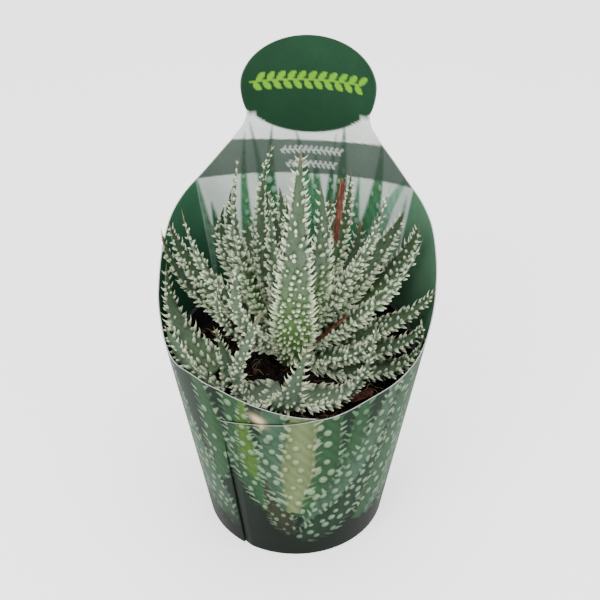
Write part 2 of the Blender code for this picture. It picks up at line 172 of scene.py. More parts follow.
def between(table, place):
    if place <= table[0][0]:
        return table[0][1]
    for index, ((a, low), (b, high)) in enumerate(zip(table, table[1:])):
        if place <= b:
            break
    else:
        return table[-1][1]
    before = table[max(index - 1, 0)]
    after = table[min(index + 2, len(table) - 1)]
    start_slope = (high - before[1]) / (b - before[0])
    end_slope = (after[1] - low) / (after[0] - a)
    span = b - a
    t = (place - a) / span
    return (
        (2 * t**3 - 3 * t**2 + 1) * low + (t**3 - 2 * t**2 + t) * span * start_slope
        + (3 * t**2 - 2 * t**3) * high + (t**3 - t**2) * span * end_slope
    )


def piece(name, verts, faces, node, looks, face_looks=None, colours=None, flat=False):
    """A mesh piece that stands for a node: its points, faces, materials and painted colours."""
    mesh = bpy.data.meshes.new(name)
    verts = np.clip(verts, bounds_before[0], bounds_before[1])
    mesh.from_pydata(verts.tolist(), [], faces)
    for look in looks:
        mesh.materials.append(look)
    if face_looks is not None:
        mesh.polygons.foreach_set("material_index", np.asarray(face_looks, np.int32))
    for label, values in (colours or {}).items():
        layer = mesh.color_attributes.new(label, "FLOAT_COLOR", "POINT")
        rgba = np.ones((len(verts), 4), np.float32)
        rgba[:, :3] = values
        layer.data.foreach_set("color", rgba.ravel())
    if flat:
        mesh.shade_flat()
    else:
        mesh.shade_smooth()
    obj = bpy.data.objects.new(name, mesh)
    bpy.context.scene.collection.objects.link(obj)
    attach(obj, "root")
    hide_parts(node)
    return obj


class Look:
    """A node material: a Principled shader and a few helpers that add nodes to it."""

    def __init__(self, name, roughness, specular=0.5):
        self.material = bpy.data.materials.new(name)
        self.material.use_nodes = True
        self.nodes = self.material.node_tree.nodes
        self.links = self.material.node_tree.links
        self.shader = self.nodes["Principled BSDF"]
        self.shader.inputs["Roughness"].default_value = roughness
        self.shader.inputs["Specular IOR Level"].default_value = specular
        self.place = self.nodes.new("ShaderNodeTexCoord").outputs["Object"]

    def put(self, socket, value):
        if hasattr(value, "is_linked"):
            self.links.new(value, socket)
        else:
            socket.default_value = value

    def noise(self, scale, detail=4.0, rough=0.55, stretch=None):
        node = self.nodes.new("ShaderNodeTexNoise")
        node.inputs["Scale"].default_value = scale
        node.inputs["Detail"].default_value = detail
        node.inputs["Roughness"].default_value = rough
        place = self.place
        if stretch:
            mapping = self.nodes.new("ShaderNodeMapping")
            mapping.inputs["Scale"].default_value = stretch
            self.links.new(place, mapping.inputs["Vector"])
            place = mapping.outputs["Vector"]
        self.links.new(place, node.inputs["Vector"])
        return node.outputs["Fac"]

    def ramp(self, factor, *stops):
        node = self.nodes.new("ShaderNodeValToRGB")
        elements = node.color_ramp.elements
        while len(elements) < len(stops):
            elements.new(0.5)
        for element, (place, colour) in zip(elements, stops):
            element.position = place
            element.color = (*colour, 1.0) if hasattr(colour, "__len__") else (colour, colour, colour, 1.0)
        self.links.new(factor, node.inputs["Fac"])
        return node.outputs["Color"]

    def blend(self, factor, a, b, kind="MIX"):
        node = self.nodes.new("ShaderNodeMix")
        node.data_type = "RGBA"
        node.blend_type = kind
        self.put(node.inputs[0], factor)
        self.put(node.inputs[6], (*a, 1.0) if isinstance(a, tuple) else a)
        self.put(node.inputs[7], (*b, 1.0) if isinstance(b, tuple) else b)
        return node.outputs[2]

    def painted(self, label):
        node = self.nodes.new("ShaderNodeAttribute")
        node.attribute_name = label
        return node.outputs["Color"]

    def parts(self, colour):
        node = self.nodes.new("ShaderNodeSeparateColor")
        self.links.new(colour, node.inputs[0])
        return node.outputs

    def base(self, colour):
        self.put(self.shader.inputs["Base Color"], (*colour, 1.0) if isinstance(colour, tuple) else colour)

    def bump(self, height, strength, distance):
        node = self.nodes.new("ShaderNodeBump")
        node.inputs["Strength"].default_value = strength
        node.inputs["Distance"].default_value = distance
        self.links.new(height, node.inputs["Height"])
        self.links.new(node.outputs["Normal"], self.shader.inputs["Normal"])


# ---- materials -------------------------------------------------------------------------------
def leaf_look():
    """Grey-green skin with a pale bloom, cream bumps and teeth, darker tips and a few dry ends."""
    look = Look("leaf_skin_look", 0.50, 0.35)
    tone, tint = look.parts(look.painted("tone")), look.parts(look.painted("tint"))
    skin = look.ramp(
        look.noise(330, 5, 0.65),
        (0.30, (0.022, 0.046, 0.019)), (0.52, (0.046, 0.084, 0.039)), (0.75, (0.090, 0.140, 0.080)),
    )
    skin = look.blend(tint[0], skin, (0.130, 0.175, 0.125))
    skin = look.blend(tint[1], skin, (0.070, 0.160, 0.020))
    skin = look.blend(look.ramp(tone[1], (0.50, 0.0), (0.92, 0.80)), skin, (0.034, 0.068, 0.030))
    cream = look.ramp(look.noise(500, 3), (0.3, (0.42, 0.50, 0.32)), (0.7, (0.74, 0.80, 0.60)))
    colour = look.blend(look.ramp(tone[0], (0.05, 0.0), (1.0, 1.0)), skin, cream)
    colour = look.blend(tint[2], colour, (0.210, 0.110, 0.055))
    look.base(colour)
    look.shader.inputs["Subsurface Weight"].default_value = 0.12
    look.shader.inputs["Subsurface Radius"].default_value = (0.5, 1.0, 0.4)
    look.shader.inputs["Subsurface Scale"].default_value = 0.0012
    look.bump(look.noise(1400, 4), 0.25, 0.0004)
    return look.material


def card_look():
    """Satin printed card: the painted print with a fine grain and a few dull scuffs."""
    look = Look("printed_card_look", 0.55, 0.06)
    grain = look.ramp(look.noise(1800, 2), (0.25, 0.90), (0.75, 1.10))
    colour = look.blend(1.0, look.painted("print"), grain, "MULTIPLY")
    worn = look.ramp(look.noise(60, 6), (0.35, 0.94), (0.75, 1.12))
    look.base(look.blend(1.0, colour, worn, "MULTIPLY"))
    look.bump(look.noise(900, 3), 0.06, 0.0002)
    return look.material


def card_edge_look():
    """Bare paper, pale where a cut faces up; painted shade where it faces sideways: dark green for the shadow
    line at the seam.
    """
    look = Look("card_edge_look", 0.8, 0.2)
    paper = look.ramp(look.noise(900, 3), (0.3, (0.34, 0.37, 0.32)), (0.7, (0.50, 0.52, 0.47)))
    upward = look.parts(look.nodes.new("ShaderNodeNewGeometry").outputs["Normal"])[2]
    # painted shade: cut edges facing sideways are coloured dark green, standing in for the shadow line along
    # the seam's edges
    look.base(look.blend(look.ramp(upward, (0.25, 0.0), (0.60, 1.0)), (0.012, 0.026, 0.015), paper))
    return look.material


def soil_look():
    look = Look("potting_soil_look", 0.95, 0.15)
    dark = look.ramp(
        look.noise(420, 6, 0.65),
        (0.30, (0.003, 0.0025, 0.0020)), (0.58, (0.013, 0.0092, 0.0068)), (0.80, (0.042, 0.026, 0.017)),
    )
    look.base(look.blend(1.0, look.painted("tone"), dark, "MULTIPLY"))
    look.bump(look.noise(1100, 6), 0.8, 0.0006)
    return look.material


def fibre_look():
    look = Look("root_fibre_look", 0.7, 0.3)
    look.base(look.ramp(look.noise(300, 4), (0.3, (0.10, 0.066, 0.036)), (0.7, (0.34, 0.26, 0.16))))
    return look.material


def bark_look():
    """Reddish brown bark with a grain of dark and light fibres along it."""
    look = Look("bark_look", 0.82, 0.25)
    grain = look.noise(900, 5, 0.6, (1.0, 1.0, 0.10))
    rust = look.ramp(
        grain, (0.28, (0.018, 0.006, 0.005)), (0.50, (0.085, 0.026, 0.015)), (0.74, (0.280, 0.120, 0.070)),
    )
    look.base(look.blend(1.0, look.painted("tone"), rust, "MULTIPLY"))
    look.bump(grain, 0.7, 0.0006)
    return look.material


def pot_look():
    look = Look("pot_plastic_look", 0.48, 0.45)
    look.base(look.ramp(look.noise(80, 5), (0.3, (0.012, 0.013, 0.014)), (0.75, (0.030, 0.031, 0.032))))
    look.bump(look.noise(2200, 3), 0.15, 0.0002)
    return look.material


def stem_look():
    look = Look("stem_look", 0.75, 0.3)
    grain = look.noise(260, 5, 0.6, (0.3, 0.3, 1.0))
    look.base(look.ramp(grain, (0.3, (0.10, 0.085, 0.040)), (0.7, (0.20, 0.24, 0.11))))
    look.bump(look.noise(600, 5), 0.6, 0.0006)
    return look.material


# ---- leaves ----------------------------------------------------------------------------------
BLADE_FULLNESS = 0.93        # share of the solid's width
WIDE_LEAF = 20               # a leaf wider than this, in millimetres, takes the wide shape
# A shape is one more share of the width and the power of the taper. SHAPES has the leaves that differ.
WIDE_SHAPE = (0.80, 1.15)
PLAIN_SHAPE = (1.0, 0.95)
SHAPES = {
    ("main", 0): (0.70, 0.92),
    ("front", 0): (1.25, 1.05),
    ("front", 1): (0.85, 0.75),
    ("front", 2): (1.05, 0.55),
}


class Blade:
    """A leaf's curve and section: close to the solid's, with a fuller base."""

    def __init__(self, crown, rank):
        bend, tip, width = LEAVES[crown][rank]
        top = np.array([0.0, 0.0, SOIL_LEVEL])
        self.bend = np.array(bend) * MM + top
        self.tip = np.array(tip) * MM + top
        usual = WIDE_SHAPE if width > WIDE_LEAF else PLAIN_SHAPE
        wide, self.taper = SHAPES.get((crown, rank), usual)
        self.width = width * MM * BLADE_FULLNESS * wide
        (x, y), radius, height = CROWNS[crown]
        above = LOWEST_SEAT + (height - TOP_SEAT_MARGIN - LOWEST_SEAT) * rank / (len(LEAVES[crown]) - 1)
        self.outward = unit(np.array([self.bend[0] - x, self.bend[1] - y, 0.0]))
        stem = radius * (1 - 0.45 * (above / height) ** 2)
        self.seat = np.array([x, y, SOIL_LEVEL + above]) + self.outward * (stem + GAP + 0.05 * self.width)
        steps = np.linspace(0, 1, 200)
        walk = np.linalg.norm(np.diff(self.axes(steps)[0], axis=0), axis=1)
        self.travel = np.concatenate([[0], np.cumsum(walk)])
        self.length = self.travel[-1]
        self.steps = steps

    def at(self, travel):
        """Share of the curve at a distance along it."""
        return np.interp(travel, self.travel, self.steps)

    def axes(self, s):
        s = np.asarray(s, float)[..., None]
        centre = self.seat * (1 - s) ** 2 + self.bend * 2 * s * (1 - s) + self.tip * s**2
        along = unit(self.seat * 2 * (s - 1) + self.bend * (2 - 4 * s) + self.tip * 2 * s)
        side = np.array([-self.outward[1], self.outward[0], 0.0])
        side = unit(side - along * (along @ side)[..., None])
        return centre, along, side, np.cross(along, side)

    def half_width(self, s):
        root = 0.72 + 0.28 * smooth(0.0, 0.20, s)
        return 0.5 * self.width * root * np.minimum(1.0, 1.22 * np.maximum(1.0 - s, 0.0)) ** self.taper

    def skin(self, s, t):
        """Points, outward normals and directions at shares s along the leaf and turns t round it."""
        centre, along, side, up = self.axes(s)
        half = self.half_width(s)
        rise = 2 * half * (0.26 + 0.14 * s) * np.where(np.sin(t) > 0, 0.22, 0.78)
        across, lift = half * np.cos(t), rise * np.sin(t)
        point = centre + side * across[..., None] + up * lift[..., None]
        normal = unit(side * (rise * np.cos(t))[..., None] + up * (half * np.sin(t))[..., None])
        return point, normal, along


def spikes(base, out, lean, cross, reach, wide, flat, rings, sides):
    """Many curved cones at once. A ring is (share outwards, share of the radius, lean, paleness)."""
    turns = 2 * pi * np.arange(sides) / sides
    points, pale = [], []
    for share, radius, tilt, tone in rings:
        centre = base + out * (reach * share)[:, None] + lean * (reach * tilt)[:, None]
        r = (wide * radius)[:, None, None]
        long_way = 1.15 * lean[:, None, :] * np.cos(turns)[None, :, None]
        short_way = flat * cross[:, None, :] * np.sin(turns)[None, :, None]
        ring = centre[:, None, :] + r * (long_way + short_way)
        points.append(ring)
        pale.append(np.full((len(base), sides), tone))
    verts = np.concatenate(points, axis=1)
    tones = np.concatenate(pale, axis=1)
    per = len(rings) * sides
    index, quads = ring_faces(len(rings), sides)
    starts = np.arange(len(base)) * per
    faces = (starts[:, None, None] + np.array(quads)[None]).reshape(-1, 4).tolist()
    caps = (starts[:, None] + index[-1][None]).tolist()
    return verts.reshape(-1, 3), tones.reshape(-1), faces + caps


BUMP_RINGS = [
    (-0.20, 1.35, -0.12, 0.0), (0.08, 1.16, -0.05, 0.06), (0.30, 0.95, 0.05, 0.26), (0.56, 0.74, 0.18, 0.62),
    (0.80, 0.48, 0.36, 0.95), (0.94, 0.18, 0.52, 1.0),
]
TOOTH_RINGS = [
    (-0.14, 1.25, -0.05, 0.25), (0.12, 0.95, 0.0, 0.65), (0.40, 0.62, 0.10, 0.95), (0.68, 0.36, 0.30, 1.0),
    (0.90, 0.14, 0.58, 1.0), (0.97, 0.03, 0.70, 1.0),
]


def bump_places(blade, rng, is_front):
    """Staggered rows of bumps round the leaf: crowded at its base, and fewer towards its tip.

    The front crown's leaves have more of them.
    """
    s_all, t_all = [], []
    travel = 0.05 * blade.length
    row = 0
    while travel < 0.90 * blade.length:
        s = float(blade.at(travel))
        gap = (2.60 + 0.9 * s) * MM
        half = float(blade.half_width(np.array(s)))
        for face, share in ((1, 0.22), (-1, 0.78)):
            rise = 2 * half * (0.26 + 0.14 * s) * share
            arc = pi * ((half**2 + rise**2) / 2) ** 0.5
            count = max(1, int(round((1.15 if is_front else 0.98) * arc / gap)))
            places = (np.arange(count) + 0.5 + (0.25 if row % 2 else -0.25)) / count
            if face == 1:
                places = 0.5 - 0.5 * np.cos(pi * (0.06 + 0.88 * np.clip(places, 0, 1)))
            else:
                places = 0.04 + 0.92 * places
            places = places + rng.normal(0, 0.20 / count, count)
            keep = rng.random(count) < (0.80 if face == 1 else 0.94)
            t_all.append(face * pi * places[keep])
            s_all.append(blade.at(travel + rng.normal(0, 0.30, keep.sum()) * gap))
        travel += gap * 1.05
        row += 1
    return np.concatenate(s_all), np.concatenate(t_all)


def leaf_piece(name, crown, rank, look, grey, fresh, dry):
    blade = Blade(crown, rank)
    rng = np.random.default_rng(100 + int(name[-2:]))
    rings = int(blade.length / (0.9 * MM))
    sides = 36
    s = (np.arange(rings) / rings) ** 1.05
    t = 2 * pi * np.arange(sides) / sides
    ss, tt = np.meshgrid(s, t, indexing="ij")
    skin, normal, _ = blade.skin(ss, tt)
    phase = rng.random(6) * 2 * pi
    wave = np.sin(ss * 17 + phase[0]) * np.cos(tt * 2 + phase[1]) + np.sin(ss * 31 + phase[2] + tt) * 0.6
    skin = skin + normal * (wave * 0.016 * blade.half_width(ss))[..., None]
    verts = [skin.reshape(-1, 3), blade.tip[None]]
    index, faces = ring_faces(rings, sides)
    tip = rings * sides
    faces += [[int(a), int(b), tip] for a, b in zip(index[-1], np.roll(index[-1], -1))]
    faces.append(index[0][::-1].tolist())
    tones = [np.full(rings * sides + 1, 0.0)]
    shares = [np.concatenate([ss.reshape(-1), [1.0]])]

    def grow(points, pale, more, places):
        start = sum(len(v) for v in verts)
        verts.append(points)
        tones.append(pale)
        shares.append(np.repeat(places, len(points) // len(places)))
        faces.extend([i + start for i in f] for f in more)

    bs, bt = bump_places(blade, rng, crown == "front")
    base, out, along = blade.skin(bs, bt)
    count = len(bs)
    size = rng.uniform(0.70, 1.25, count)
    room = np.clip(blade.half_width(bs) / (4.5 * MM), 0.35, 1.0)
    wide = (0.80 + 0.36 * (1 - bs)) * MM * size * (0.60 + 0.40 * room)
    reach = (2.0 + 0.9 * (1 - bs)) * MM * size * rng.uniform(0.80, 1.20, count) * (0.55 + 0.45 * room)
    reach *= np.where(np.sin(bt) > 0, 0.85, 1.0)
    cross = np.cross(out, along)
    points, pale, more = spikes(base, out, along, cross, reach, wide, 0.92, BUMP_RINGS, 8)
    grow(points, pale, more, bs)

    ts, tt = [], []
    for edge in (0.0, pi):
        travel = (0.07 + 0.03 * rng.random()) * blade.length
        while travel < 0.95 * blade.length:
            ts.append(float(blade.at(travel)))
            tt.append(edge)
            travel += (3.0 + 1.0 * ts[-1]) * MM * rng.uniform(0.72, 1.28)
    ts, tt = np.array(ts), np.array(tt)
    base, out, along = blade.skin(ts, tt)
    count = len(ts)
    fold = rng.normal(0, 0.22, count)
    _, _, _, up = blade.axes(ts)
    out = unit(out + up * fold[:, None] + along * 0.15)
    lean = unit(along - out * np.sum(along * out, axis=1)[:, None])
    cross = np.cross(out, lean)
    room = np.clip(blade.width / (15 * MM), 0.7, 1.1)
    reach = (5.2 - 3.0 * ts) * MM * rng.uniform(0.70, 1.20, count) * room
    wide = (1.50 - 0.85 * ts) * MM
    points, pale, more = spikes(base, out, lean, cross, reach, wide, 0.55, TOOTH_RINGS, 7)
    grow(points, pale, more, ts)

    verts = np.concatenate(verts)
    share = np.concatenate(shares)
    tone = np.stack([np.concatenate(tones), share, share * 0], axis=1)
    ends = smooth(0.90 - 0.10 * dry, 0.98, share) * min(dry + 0.25, 1.0)
    tint = np.stack([share * 0 + grey, fresh * smooth(0.55, 0.10, share) + share * 0, ends], axis=1)
    colours = {"tone": tone, "tint": tint}
    return piece(name + "_look", verts, faces, name, [look], colours=colours)


def leaves():
    look = leaf_look()
    rng = np.random.default_rng(5)
    number = 0
    for crown, rows in LEAVES.items():
        for rank in range(len(rows)):
            number += 1
            name = f"leaf_{number:02d}"
            grey = 0.75 if crown == "front" else 0.35 if crown == "left" else rng.uniform(0.0, 0.30)
            fresh = 0.7 * rng.random() ** 3
            dry = {"leaf_18": 1.0, "leaf_26": 0.6, "leaf_10": 0.5}.get(name, 0.2 * rng.random())
            leaf_piece(name, crown, rank, look, grey, fresh, dry)


# ---- the print on the card -------------------------------------------------------------------
def wall_x(angle, z):
    """Distance round the sleeve in millimetres, for an angle in degrees and a height in millimetres."""
    return np.radians(angle) * (46.0 + 0.16 * z)


def paint_leaf(colour, angle, z, leaf, rng, soft=0.35):
    """A printed leaf: (base, bend, tip) as (angle, height), width in mm, body colour, bump colour, bump
    size in mm, share covered with bumps, tooth length in mm and strength."""
    (base, bend, tip), width, body, pale, size, dense, tooth, strength = leaf
    p0, p1, p2 = (np.array([wall_x(a, h), h]) for a, h in (base, bend, tip))
    x = wall_x(angle, z)
    reach = width + 2 * tooth
    low = np.minimum(np.minimum(p0, p1), p2) - reach
    high = np.maximum(np.maximum(p0, p1), p2) + reach
    near = np.nonzero((x > low[0]) & (x < high[0]) & (z > low[1]) & (z < high[1]))[0]
    if len(near) == 0:
        return
    s = np.linspace(0, 1, 90)[:, None]
    line = p0 * (1 - s) ** 2 + p1 * 2 * s * (1 - s) + p2 * s**2
    slope = unit(np.gradient(line, axis=0))
    length = np.concatenate([[0], np.cumsum(np.linalg.norm(np.diff(line, axis=0), axis=1))])
    here = np.stack([x[near], z[near]], axis=1)
    best = np.empty(len(near), int)
    for k in range(0, len(near), 20000):
        gap = here[k:k + 20000, None, :] - line[None]
        best[k:k + 20000] = np.argmin((gap**2).sum(-1), axis=1)
    offset = here - line[best]
    d = offset[:, 0] * slope[best][:, 1] - offset[:, 1] * slope[best][:, 0]
    ahead = (offset * slope[best]).sum(1)
    run = length[best] + ahead
    share = run / length[-1]
    root = 0.45 + 0.55 * smooth(0.0, 0.20, share)
    half = 0.5 * width * root * np.minimum(1.0, 1.25 * np.clip(1 - share, 0, 1)) ** 0.9
    inside = smooth(half + soft, half - soft, np.abs(d)) * (share > -0.01) * (share < 1.0)
    turn = np.clip(np.abs(d) / np.maximum(half, 0.3), 0, 1)
    body = np.array(body)
    shade = 1.12 - 0.45 * turn**2 + 0.10 * np.sin(run * 0.9 + d)
    painted = colour[near].copy()
    painted = painted * (1 - inside[:, None]) + (body * shade[:, None]) * inside[:, None]
    if tooth > 0:
        pitch = 0.95 * tooth
        for edge in (-1, 1):
            across = (edge * d - half * 0.90) * 1.35
            wander = 0.6 * np.sin(run * 0.55 + edge)
            start = run - 0.55 * np.maximum(across, 0) + rng.random() * pitch + wander
            place = np.mod(start, pitch) / pitch
            taper = 0.22 * (1 - np.clip(across / tooth, 0, 1)) + 0.03
            spike = smooth(taper + 0.05, taper - 0.03, np.abs(place - 0.5))
            spike = spike * (0.55 + 0.45 * np.sin(run * 0.37 + 2 * edge))
            spike = spike * (across > -0.8) * (across < tooth * (1 - 0.4 * share))
            spike = spike * (share > 0.02) * (share < 0.97)
            painted = mix(painted, np.array(pale) * 1.05, spike * strength)
    step = 2.05 * size
    rows = np.arange(0.5 * size, length[-1] * 0.93, step * 0.86)
    for number, distance in enumerate(rows):
        place = distance / length[-1]
        edge = 0.5 * width * (0.45 + 0.55 * smooth(0, 0.2, place)) * min(1.0, 1.25 * (1 - place)) ** 0.9
        count = max(1, int(round(2 * edge * 0.9 / step)))
        for k in range(count):
            if rng.random() > dense:
                continue
            across = (2 * (k + 0.5 + (0.25 if number % 2 else -0.25)) / count - 1) * edge * 0.9
            across += rng.normal(0, 0.12 * step)
            there = distance + rng.normal(0, 0.16 * step)
            big = size * rng.uniform(0.40, 0.56)
            squeeze = max(0.55, 1 - 0.5 * (across / max(edge, 0.5)) ** 2)
            close = np.nonzero((np.abs(run - there) < 2.2 * big) & (np.abs(d - across) < 2.2 * big))[0]
            if len(close) == 0:
                continue
            r = np.hypot((run[close] - there) / (big * 1.15), (d[close] - across) / (big * squeeze))
            spot = smooth(1.25, 0.75, r) * (inside[close] > 0.3)
            light = 1.08 - 0.22 * r + 0.10 * np.sign(run[close] - there)
            below = (run[close] - there + 0.5 * big) / (big * 1.3)
            shadow = smooth(2.0, 1.1, np.hypot(below, (d[close] - across) / big))
            painted[close] = mix(painted[close], body * 0.55, shadow * 0.45 * (inside[close] > 0.5))
            painted[close] = mix(painted[close], np.array(pale) * light[:, None], spot * strength)
    colour[near] = painted


GREY = (0.026, 0.058, 0.034)
GREEN = (0.013, 0.043, 0.016)
YELLOW = (0.036, 0.078, 0.012)
CREAM = (0.090, 0.120, 0.052)
DEEP = (0.0060, 0.0200, 0.0095)
UMBER = (0.017, 0.018, 0.009)
LIGHT = (0.130, 0.205, 0.120)
MINT = (0.072, 0.148, 0.080)
STRAW = (0.200, 0.240, 0.130)

# Printed leaves outside, from the farthest to the nearest, with angles from the front.
OUTSIDE_LEAVES = [
    (((84, 18), (92, 60), (84, 135)), 17, GREEN, MINT, 3.0, 0.8, 4.0, 0.8),
    (((-92, 12), (-84, 50), (-92, 130)), 17, GREEN, MINT, 3.0, 0.8, 4.0, 0.8),
    (((70, 14), (66, 60), (70, 150)), 17, GREEN, MINT, 3.2, 0.7, 4.5, 0.8),
    (((-56, 8), (-80, 60), (-78, 150)), 18, GREEN, MINT, 3.2, 0.8, 4.5, 0.8),
    (((30, 30), (34, 70), (36, 150)), 15, GREEN, MINT, 3.2, 0.7, 5.0, 0.8),
    (((50, 20), (74, 56), (84, 120)), 17, GREY, MINT, 3.2, 0.9, 5.0, 0.9),
    (((-38, 50), (-30, 85), (-44, 150)), 16, GREEN, LIGHT, 3.4, 0.5, 5.0, 0.9),
    (((44, 20), (62, 56), (60, 160)), 16, GREEN, LIGHT, 3.2, 0.7, 5.0, 0.9),
    (((-48, 4), (-62, 45), (-74, 110)), 15, GREY, LIGHT, 2.8, 0.9, 4.0, 0.9),
    (((-34, 14), (-52, 48), (-64, 125)), 17, GREY, LIGHT, 3.0, 0.95, 4.5, 0.9),
    (((-9, 38), (-20, 70), (-27, 160)), 18, GREEN, LIGHT, 3.4, 0.85, 4.5, 0.85),
    (((-15, 62), (-20, 82), (-17, 130)), 10, YELLOW, LIGHT, 3.2, 0.7, 3.0, 0.8),
    (((2, 18), (-9, 46), (-9, 84)), 13, UMBER, LIGHT, 2.3, 0.8, 3.0, 0.65),
    (((8, 34), (25, 70), (18, 175)), 19, GREEN, LIGHT, 3.8, 0.75, 4.5, 0.95),
    (((2, 40), (-9, 82), (-1, 190)), 17, GREY, LIGHT, 3.4, 0.8, 6.0, 1.0),
    (((4, 38), (6, 80), (14, 210)), 16, CREAM, STRAW, 3.0, 0.55, 6.0, 0.9),
    (((12, 24), (42, 60), (56, 140)), 19, GREY, LIGHT, 3.3, 0.85, 5.0, 0.9),
    (((8, 14), (40, 34), (52, 84)), 19, DEEP, LIGHT, 3.0, 0.95, 4.5, 0.9),
]


BACK_LEAVES = 16             # printed leaves round the back
BACK_START = 102             # degrees from the front at which they start
BACK_SPAN = 158              # degrees that they cover


def outside_print(angle, z):
    """Large leaves on dark green, plain towards the bottom."""
    rng = np.random.default_rng(21)
    low = np.array([0.0022, 0.0050, 0.0026])
    high = np.array([0.0030, 0.0125, 0.0052])
    colour = mix(np.tile(low, (len(z), 1)), high, smooth(10, 90, z))
    for k in range(BACK_LEAVES):
        start = BACK_START + BACK_SPAN * k / (BACK_LEAVES - 1) + rng.uniform(-3, 3)
        lean = rng.uniform(-14, 14)
        tall = rng.uniform(95, 150)
        curve = ((start, 10 + 12 * rng.random()), (start + 0.2 * lean, 60), (start + lean, tall))
        body = (GREY, GREEN, GREEN, DEEP)[rng.integers(4)]
        width = rng.uniform(14, 19)
        pale = (MINT, LIGHT)[rng.integers(2)]
        leaf = (curve, width, body, pale, rng.uniform(2.8, 3.6), 0.8, 4.5, 0.85)
        paint_leaf(colour, angle % 360, z, leaf, rng)
    for leaf in OUTSIDE_LEAVES:
        paint_leaf(colour, angle, z, leaf, rng)
    spot = np.exp(-(((angle + 11) / 3.2) ** 2 + ((z - 104 + 0.5 * (angle + 11)) / 3.0) ** 2))
    colour = mix(colour, (0.62, 0.50, 0.30), 0.75 * spot)
    ground = np.where(np.abs(angle) < 70, np.where(angle < 4, 34.0, 26.0), 38.0)
    fade = smooth(ground, ground - 22, z)
    colour = mix(colour, low * 1.05, 0.92 * fade)
    turn = angle % 360
    tall = smooth(112, 128, z) * smooth(105, 112, turn * (turn > 100) * (turn < 260))
    return mix(colour, (0.014, 0.052, 0.026), tall * 0.9)


SKY = np.array([0.560, 0.640, 0.595])
FADED, FADED_DARK, FADED_PALE = (0.050, 0.165, 0.078), (0.024, 0.098, 0.042), (0.150, 0.290, 0.185)
HAZE = (0.300, 0.440, 0.330)

# Printed leaves inside the back panel, with angles from its middle, growing to the right.
INSIDE_LEAVES = [
    (((-44, 80), (-46, 125), (-49, 172)), 11, (0.085, 0.175, 0.110), (0.20, 0.33, 0.24), 2.6, 0.5, 1.5, 0.5),
    (((-38, 80), (-41, 120), (-43, 150)), 14, FADED_DARK, FADED_PALE, 2.6, 0.6, 1.5, 0.6),
    (((-24, 90), (-30, 140), (-25, 181)), 9, FADED, HAZE, 2.4, 0.5, 1.5, 0.5),
    (((-17, 100), (-17, 150), (-23, 186)), 8, FADED, HAZE, 2.4, 0.5, 1.5, 0.5),
    (((-15, 90), (-17, 160), (-14, 183)), 13, FADED_DARK, HAZE, 3.0, 0.6, 1.8, 0.6),
    (((4, 90), (3, 145), (-5, 180)), 13, FADED, HAZE, 2.8, 0.6, 1.8, 0.6),
    (((8, 90), (4, 150), (3, 169)), 14, FADED, HAZE, 2.8, 0.6, 1.8, 0.6),
    (((10, 90), (9, 150), (11, 179)), 8, FADED_DARK, HAZE, 2.6, 0.5, 1.5, 0.6),
    (((14, 90), (15, 155), (14, 185)), 13, FADED_DARK, HAZE, 3.0, 0.6, 1.8, 0.6),
    (((22, 90), (22, 140), (22, 160)), 10, FADED, HAZE, 2.8, 0.6, 1.8, 0.6),
    (((25, 100), (33, 155), (30, 182)), 14, FADED, HAZE, 3.0, 0.6, 1.8, 0.6),
    (((28, 100), (34, 150), (47, 172)), 12, (0.150, 0.300, 0.205), HAZE, 2.8, 0.6, 2.5, 0.7),
    (((42, 100), (45, 135), (46, 160)), 8, (0.190, 0.330, 0.235), HAZE, 2.8, 0.6, 2.0, 0.6),
]


def sprig(colour, b, z, middle, height, span, count, length, tint, strength):
    """A plain ornament: small lens-shaped leaflets in pairs along a thin line."""
    x = np.radians(b) * 78.0
    centre = np.radians(middle) * 78.0
    line = smooth(0.45, 0.15, np.abs(z - height)) * (np.abs(x - centre) < span)
    colour[:] = mix(colour, tint, line * strength)
    for k in range(count):
        for up in (-1, 1):
            start = centre - span + 2 * span * (k + 0.5 + 0.2 * up) / count
            tilt = radians(48) * up
            dx, dz = x - start, z - height
            run = dx * cos(tilt) + dz * sin(tilt)
            off = -dx * sin(tilt) + dz * cos(tilt)
            share = np.clip(run / length, 0, 1)
            outline = 0.24 * length * np.sin(pi * share) ** 0.8 + 0.01
            leaf = smooth(1.15, 0.85, np.abs(off) / outline) * (run > 0) * (run < length)
            colour[:] = mix(colour, tint, leaf * strength)


